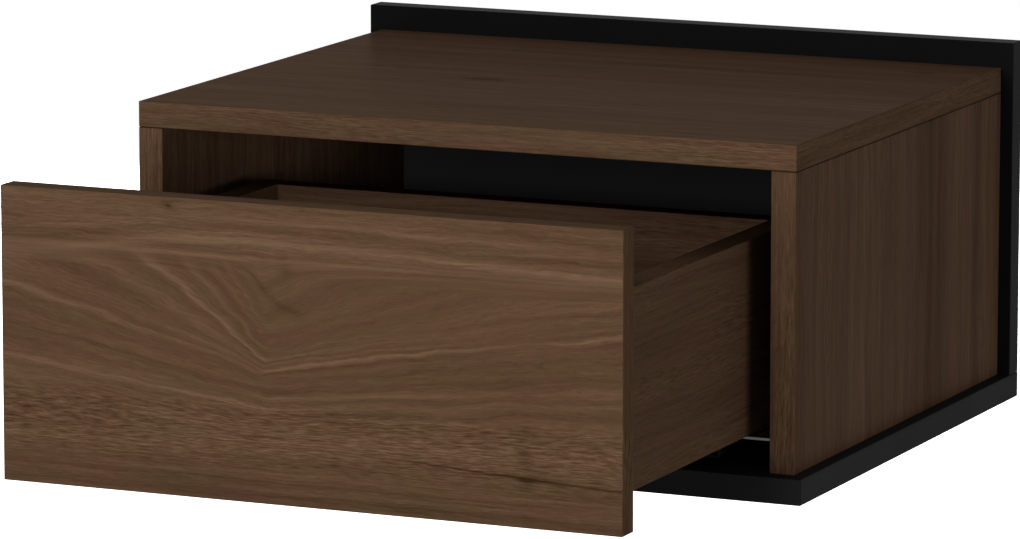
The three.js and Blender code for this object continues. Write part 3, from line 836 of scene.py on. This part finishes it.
for hand, sign in hands:
    for i in (1, 2):
        start, length = headEnd(f"rail_screw_{hand}_{i}", (sign, 0, 0))
        shell = panScrew(start, (sign, 0, 0), length)
        standIn(f"rail_screw_{hand}_{i}", shell, "cabinet", "steel")
print("screws made")


def dowel(start, length):
    fluted = flutedOutline(4, 0.22, 22)
    rings = [(0, 3.2), (0.3, 3.45), (1.3, fluted), (length - 1.3, fluted), (length - 0.3, 3.45)]
    return turned(start, up, rings + [(length, 3.2)], 132)


def camBolt(start, length):
    rings = [(0, 1.9), (0.5, 2.3)] + threadRings(0.9, 10.6, 2.3, 2.98, 2.0)
    rings += [(11, 2.3), (11.2, 2.98), (12.4, 2.98), (12.6, 2.3), (length - 7.5, 2.3), (length - 7, 1.6)]
    rings += [(length - 4.6, 1.6), (length - 4.2, 2.3), (length - 3.4, 2.85), (length - 2.2, 2.98)]
    return turned(start, wallward, rings + [(length - 1.1, 2.6), (length - 0.3, 1.7), (length, 0.9)], 32)


def camDisc(start, axis, length):
    recess = crossOutline(3.4, 0.75)
    rings = [(3.2, scaled(recess, 0.8)), (0.25, recess), (0.0, scaled(recess, 1.06)), (0.0, 5.6)]
    rings += [(0.25, 5.75), (0.25, 6.3), (0.0, 6.45), (0.0, 7.2), (0.3, 7.5), (3.4, 7.5), (3.7, 7.1)]
    rings += [(length - 3, 7.1), (length - 2.7, 7.5), (length - 0.3, 7.5), (length, 7.2)]
    return turned(start, axis, rings, 64)


boreRadius = dict(dowel=4.3, bolt=3.3, cam=7.8)
boltHoles, camHoles, dowelHoles = [], [], []
for i in range(1, 5):
    start, length = headEnd(f"top_dowel_{i}", up)
    standIn(f"top_dowel_{i}", dowel(start, length), "cabinet", "beech")
    dowelHoles.append((start, up, boreRadius["dowel"], length + holeGap))
    start, length = headEnd(f"cam_bolt_{i}", wallward)
    standIn(f"cam_bolt_{i}", camBolt(start, length), "drawer", "steel")
    boltHoles.append((start, wallward, boreRadius["bolt"], length + holeGap))
    outward = (math.copysign(1, start[0]), 0, 0)
    start, length = headEnd(f"cam_disc_{i}", outward)
    bore = [plainHole(*boltHoles[-1])]
    standIn(f"cam_disc_{i}", camDisc(start, outward, length), "drawer", "steel", bore)
    camHoles.append((start, outward, boreRadius["cam"], length + holeGap))
print("dowels, cams and bolts made")

# Hanger plates: a sheet with a keyhole, let into the back board. A deeper pocket takes the wall screw's head.
hanger = dict(
    corner=4.0, entry=5.0, drop=5.0, slot=2.5, slotTo=(-5, 8.5), gap=0.3, past=2,
    deepHalf=6.5, deepTo=(-11.5, 10), deepFrom=(-10.6, -2),
)
corner, entry, drop, half, ends, gap, past, deep, zs, ys = hanger.values()
hangerPockets = []
for hand, sign in hands:
    low, high = span(f"hanger_plate_{hand}")
    x, _, z = (low + high) / 2
    outline = roundedOutline(low[::2], high[::2], corner)
    neck = roundedOutline((x - half, z + ends[0]), (x + half, z + ends[1]), half - 0.01)
    tools = [plainHole((x, high[1] + 1, z - drop), frontward, entry, 5)]
    tools.append(toolOf(carried(neck, axisY, low[1] - 1, high[1] + 1, 0.01)))
    tools += [sunkHole(*screw) for screw in plateScrews if abs(screw[1][0] - x) < 30]
    shell = carried(outline, axisY, low[1], high[1], 0.25)
    standIn(f"hanger_plate_{hand}", shell, "cabinet", "zinc", tools)
    hangerPockets += [
        (low - gap, (high[0] + gap, past, high[2] + gap)),
        ((x - deep, ys[0], z + zs[0]), (x + deep, ys[1], z + zs[1])),
    ]
print("hanger plates made")

# Boards with rolled edges: each one's body, its look, the rows of screws and the plain bores that go into it.
# The drawer bottom lies in a groove.
boardWork = dict(edge=0.7, grooveGap=0.3, grooveDeeper=3)
boards = dict(
    base_panel=("cabinet", "blackBase", ("base_screw", "latch_screw"), []),
    back_panel=("cabinet", "blackBack", ("back_screw",), []),
    side_panel_left=("cabinet", "sideLeft", ("base_screw", "back_screw"), dowelHoles),
    side_panel_right=("cabinet", "sideRight", ("base_screw", "back_screw"), dowelHoles),
    top_panel=("cabinet", "top", (), dowelHoles),
    drawer_front=("drawer", "front", (), boltHoles),
    drawer_side_left=("drawer", "boxSides", ("rear_screw",), boltHoles + camHoles),
    drawer_side_right=("drawer", "boxSides", ("rear_screw",), boltHoles + camHoles),
    drawer_rear=("drawer", "boxRear", ("rear_screw", "bottom_screw"), []),
    drawer_bottom=("drawer", "boxBottom", ("bottom_screw",), []),
)
bottomLow, bottomHigh = span("drawer_bottom")
gap = boardWork["grooveGap"]
groove = (bottomLow - gap, bottomHigh + [gap, boardWork["grooveDeeper"], gap])


def nearBoard(place, low, high):  # on the board's own half, so that no tool is spent on the other side
    return (high[0] - low[0]) > 300 or place[0] * (low[0] + high[0]) > 0


def boardTools(name, rows, bores):
    low, high = span(name)
    tools = [sunkHole(*hole) for row in rows for hole in holes[row] if nearBoard(hole[1], low, high)]
    tools += [plainHole(*hole) for hole in bores if nearBoard(hole[0], low, high)]
    if name == "drawer_bottom":
        tools += [sunkHole(*screw) for screw in clipScrews]
    if name == "back_panel":
        tools += [toolOf(rolledBox(*pocket, 0.3, 2)) for pocket in hangerPockets]
        tools += [sunkHole(*screw) for screw in plateScrews]
    if name in ("drawer_front", "drawer_side_left", "drawer_side_right"):
        tools.append(toolOf(rolledBox(*groove, 0.05, 1)))
    return tools


for name, (body, look, rows, bores) in boards.items():
    shell = rolledBox(*span(name), boardWork["edge"])
    standIn(name, shell, body, look, boardTools(name, rows, bores), smooth=None)
print("boards made")

# Runners: the middle line of each bent sheet for the right hand, as x and height, the screw holes, the middle
# rail's wall and corners, and the cages with their windows and rollers
runner = dict(
    sheet=1.5,
    bend=2.2,
    cabinetLine=[
        (199.95, -53.5), (199.95, -82.25), (162.05, -82.25), (162.05, -95.75), (125.95, -95.75),
        (125.95, -84),
    ],
    drawerLine=[(129.95, -80), (129.95, -70.05), (158.05, -70.05), (158.05, -80)],
    screwHole=dict(x=195, height=-67.5, radius=3.4, length=10, back=(-329, -105)),
    middle=dict(wall=1.5, outer=2.2, inner=0.7),
    cage=dict(half=11, halfThick=0.7, corner=2.5),
    window=dict(half=9.3, halfLong=1.8, corner=0.5),
    roller=dict(radius=1.5, length=18.0, count=6),
)


def bentRail(name, sign, body, line, cuts=()):
    low, high = span(name)
    corners = [(sign * x, z) for x, z in runner[line]][::sign]
    shell = bentSheet(corners, runner["sheet"], low[1], high[1], runner["bend"])
    standIn(name, shell, body, "zinc", cuts)


def middleRail(hand):
    low, high = span(f"middle_rail_{hand}")
    wall, outer, inner = runner["middle"].values()
    outline = roundedOutline(low[::2], high[::2], outer)
    hollow = roundedOutline(low[::2] + wall, high[::2] - wall, inner)
    shell = carried(outline, axisY, low[1], high[1], hollow=hollow)
    standIn(f"middle_rail_{hand}", shell, f"middle_{hand}", "zinc")


def cage(level, hand):
    low, high = span(f"{level}_cage_{hand}")
    x, _, z = (low + high) / 2
    half, thick, corner = runner["cage"].values()
    radius, length, count = runner["roller"].values()
    outline = roundedOutline((x - half, low[1]), (x + half, high[1]), corner)
    shell = carried(outline, axisZ, z - thick, z + thick, 0.15)
    half, long, corner = runner["window"].values()
    cuts, shells = [], []
    rings = [(0, radius - 0.3), (0.3, radius), (length - 0.3, radius), (length, radius - 0.3)]
    for y in low[1] + (high[1] - low[1]) / count * (np.arange(count) + 0.5):
        hole = roundedOutline((x - half, y - long), (x + half, y + long), corner, 3)
        cuts.append(toolOf(carried(hole, axisZ, z - 2, z + 2, 0.01)))
        shells.append(turned((x - length / 2, y, z), (1, 0, 0), rings, 32))
    body = f"rollers_{level}_{hand}"
    standIn(f"{level}_cage_{hand}", shell, body, "nylon", cuts)
    dress(meshObject(f"{level}-rollers-{hand}", *shells), body, "steel")


for hand, sign in hands:
    x, z, radius, length, ys = runner["screwHole"].values()
    cuts = [plainHole((sign * x, y, z), (sign, 0, 0), radius, length) for y in ys]
    bentRail(f"cabinet_rail_{hand}", sign, "cabinet", "cabinetLine", cuts)
    bentRail(f"drawer_rail_{hand}", sign, "drawer", "drawerLine")
    middleRail(hand)
    cage("lower", hand)
    cage("upper", hand)
print("runners made")

# Locking clips: a plate under the drawer bottom, a ribbed grip that is hollow from below, and a tab that
# hooks the rail. Across and tabAcross are for the right hand, grip and hollow start at the clip's front end,
# and walls are the grip's walls to the left and right of its hollow.
clip = dict(
    across=(100.9, 124.9), plate=3.0, corner=2.5, grip=(0.8, 20.0), ribs=7, ribHalf=0.7, ribTo=2,
    tabAcross=(119.9, 128.9), tabAlong=(-554, -542.1), tabHigh=3, hollow=(4, 17), hollowTo=4,
    walls=dict(left=(2, 2), right=(2, 5)),
)
for hand, sign in hands:
    low, high = span(f"locking_clip_{hand}")
    xs, tabXs = (sorted(sign * x for x in clip[part]) for part in ("across", "tabAcross"))
    front, under, over = low[1], low[2], high[2]
    outline = roundedOutline((xs[0], front), (xs[1], high[1]), clip["corner"])
    plate = meshObject(f"locking-clip-{hand}", carried(outline, axisZ, over - clip["plate"], over, 0.3))
    grip = boxTool(xs, front + np.array(clip["grip"]), (under, over - 1), 1.4)
    tab = boxTool(tabXs, clip["tabAlong"], (under, under + clip["tabHigh"]), 0.7)
    worked(plate, [grip, tab], "UNION")
    ribs = np.linspace(xs[0] + 3, xs[1] - 3, clip["ribs"])
    half, ys, zs = clip["ribHalf"], (front, front + clip["ribTo"]), (under + 1.2, over - 1.2)
    worked(plate, [boxTool((x - half, x + half), ys, zs, 0.4, 4) for x in ribs], "UNION")
    walls = clip["walls"][hand]
    ys, zs = front + np.array(clip["hollow"]), (under - 2, under + clip["hollowTo"])
    cuts = [boxTool((xs[0] + walls[0], xs[1] - walls[1]), ys, zs, 0.8, 4)]
    worked(plate, cuts + [sunkHole(*screw) for screw in clipScrews if screw[1][0] * sign > 0])
    dress(plate, "drawer", "plastic", f"locking_clip_{hand}")
print("locking clips made")

# Push latch: a tube on two feet, each joined to it by a rib, a stepped plunger and its spring
latch = dict(
    start=-341.5, height=-91.7, length=70.0, bore=5.0, neck=4.3, wall=2,
    footHalf=20, footLong=16, footHeight=(-98.7, -95.7),
    ribHalf=11, ribAlong=(6.8, 9.2), ribHeight=(-97, -89),
    coil=4.0, coilThick=0.8, turns=9, coilInset=0.45,
)
start, length = (0, latch["start"], latch["height"]), latch["length"]
rings = [(0, 6.2), (0.25, 6.7), (0.8, 7.0), (1.8, 7.0), (2.2, 6.75), (length - 2.2, 6.75)]
rings += [(length - 1.8, 7.0), (length - 0.8, 7.0), (length, 6.2)]
housing = meshObject("latch-housing", turned(start, wallward, rings, 64))
tools, half, rib, long, wall = [], latch["footHalf"], latch["ribHalf"], latch["footLong"], latch["wall"]
for y in (start[1], start[1] + length - long):
    outline = roundedOutline((-half, y), (half, y + long), 4)
    tools.append(toolOf(carried(outline, axisZ, *latch["footHeight"], 0.4)))
    tools.append(boxTool((-rib, rib), y + np.array(latch["ribAlong"]), latch["ribHeight"], 0.6, 4))
worked(housing, tools, "UNION")
bores = [plainHole((0, start[1] + wall, start[2]), wallward, latch["bore"], length - 2 * wall, 0)]
bores.append(plainHole(start, wallward, latch["neck"], 3, 1))
worked(housing, bores + [sunkHole(*hole) for hole in holes["latch_screw"]])
dress(housing, "cabinet", "plastic", "latch_housing")

low, high = span("latch_plunger")
length = high[1] - low[1]
rings = [(0, 2.6), (0.12, 3.1), (0.35, 3.5), (0.7, 3.85), (1.1, 4.0), (10.3, 4.0), (10.3, 4.6)]
rings += [(10.5, 4.7), (14.1, 4.7), (14.3, 4.6), (14.3, 3.0), (length - 0.6, 3.0), (length, 2.4)]
standIn("latch_plunger", turned((0, low[1], latch["height"]), wallward, rings, 64), "plunger", "nylon")


# A spring: the wire's centre goes round by the turn and forward by the pitch, which closes up in the first
# and last turn. The wire's section is a circle in the plane across it.
def springShell(start, end, radius, thick, turns, around=12, perTurn=40):
    s = np.linspace(0, turns, turns * perTurn + 1)
    opened = np.clip(np.minimum(s, turns - s) - 0.75, 0, 0.5) * 2
    closed = thick * 1.12
    pitch = closed + opened * (end - start - closed * turns) / (opened.mean() * turns)
    steps = np.diff(s) * (pitch[1:] + pitch[:-1]) / 2
    y = start + np.concatenate([[0], np.cumsum(steps)])
    angle = s * turn
    centre = np.column_stack([radius * np.cos(angle), y, latch["height"] + radius * np.sin(angle)])
    outward = np.column_stack([np.cos(angle), np.zeros_like(angle), np.sin(angle)])
    along = np.gradient(centre, axis=0)
    along /= np.linalg.norm(along, axis=1)[:, None]
    third = np.cross(along, outward)
    phase = (np.arange(around) / around * turn)[None, :, None]
    ring = np.cos(phase) * outward[:, None, :] + np.sin(phase) * third[:, None, :]
    return gridShell(centre[:, None, :] + ring * thick / 2)


low, high = span("latch_spring")
ends = low[1] + latch["coilInset"], high[1] - latch["coilInset"]
spring = meshObject("latch-spring", springShell(*ends, latch["coil"], latch["coilThick"], latch["turns"]))
dress(spring, "cabinet", "spring", "latch_spring", smooth=60)
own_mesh(spring)
print("push latch made")

# Stage: a pale floor under the hanging cabinet, in metres, white to the camera
stage = dict(floor=-0.45, size=60, pale=0.62, lift=0.97)


def seenRays(wire):  # 1 for what the camera sees, also in a reflection or through glass
    rays = wire.node("LightPath", {}, "Is Camera Ray")
    indirect = wire.math("MAXIMUM", rays.pick("Is Glossy Ray"), rays.pick("Is Transmission Ray"))
    return wire.math("MAXIMUM", rays, indirect)


def makeFloor():
    signs = np.array([[-1, -1], [1, -1], [1, 1], [-1, 1]])
    corners = np.column_stack([signs * stage["size"] / 2, np.full(4, stage["floor"])]) / mm
    floor = meshObject("floor", (corners, np.array([[0, 1, 2, 3]]), []))
    material, wire = newMaterial("paleFloor")
    finished(
        material,
        Base_Color=grey(stage["pale"]),
        Roughness=0.9,
        Specular_IOR_Level=0.0,
        Emission_Color=blend(wire, seenRays(wire), grey(0), grey(1)),
        Emission_Strength=stage["lift"],
    )
    floor.data.materials.append(material)


# Studio light: ambient is the world's strength for all but the camera. A lamp has its place, its target, its
# width and height in metres, and its power.
studio = dict(
    ambient=0.05,
    lamps=dict(
        key=((0.0, -2.35, 0.30), (0.0, -0.45, 0.0), 0.34, 0.44, 12.3),
        fill=((3.81, -2.87, 0.25), (0.0, -0.3, 0.0), 1.5, 0.90, 44.5),
        high=((-0.2, -2.20, 1.20), (0.0, -0.35, 0.0), 1.0, 0.5, 13.6),
        behind=((-1.45, 2.60, 0.29), (0.0, -0.15, 0.1), 0.16, 0.3, 145),
    ),
)


def makeWorld():
    world = bpy.data.worlds.new("studio")
    scene.world = world
    world.use_nodes = True
    tree = world.node_tree
    background = tree.nodes["Background"]
    background.inputs["Color"].default_value = grey(1)
    strength = seenRays(Wire(tree)) * (1 - studio["ambient"]) + studio["ambient"]
    feed(tree, background.inputs["Strength"], strength)


def makeLamps():
    for name, (place, target, width, height, power) in studio["lamps"].items():
        data = bpy.data.lights.new(name, "AREA")
        data.shape = "RECTANGLE"
        data.size = width
        data.size_y = height
        data.energy = power
        lamp = bpy.data.objects.new(name, data)
        lamp.location = place
        lamp.rotation_euler = (Vector(target) - Vector(place)).to_track_quat("-Z", "Y").to_euler()
        lamp.visible_camera = False
        lamp.visible_glossy = name != "behind"
        scene.collection.objects.link(lamp)


makeFloor()
makeWorld()
makeLamps()
print("stage and lamps made")
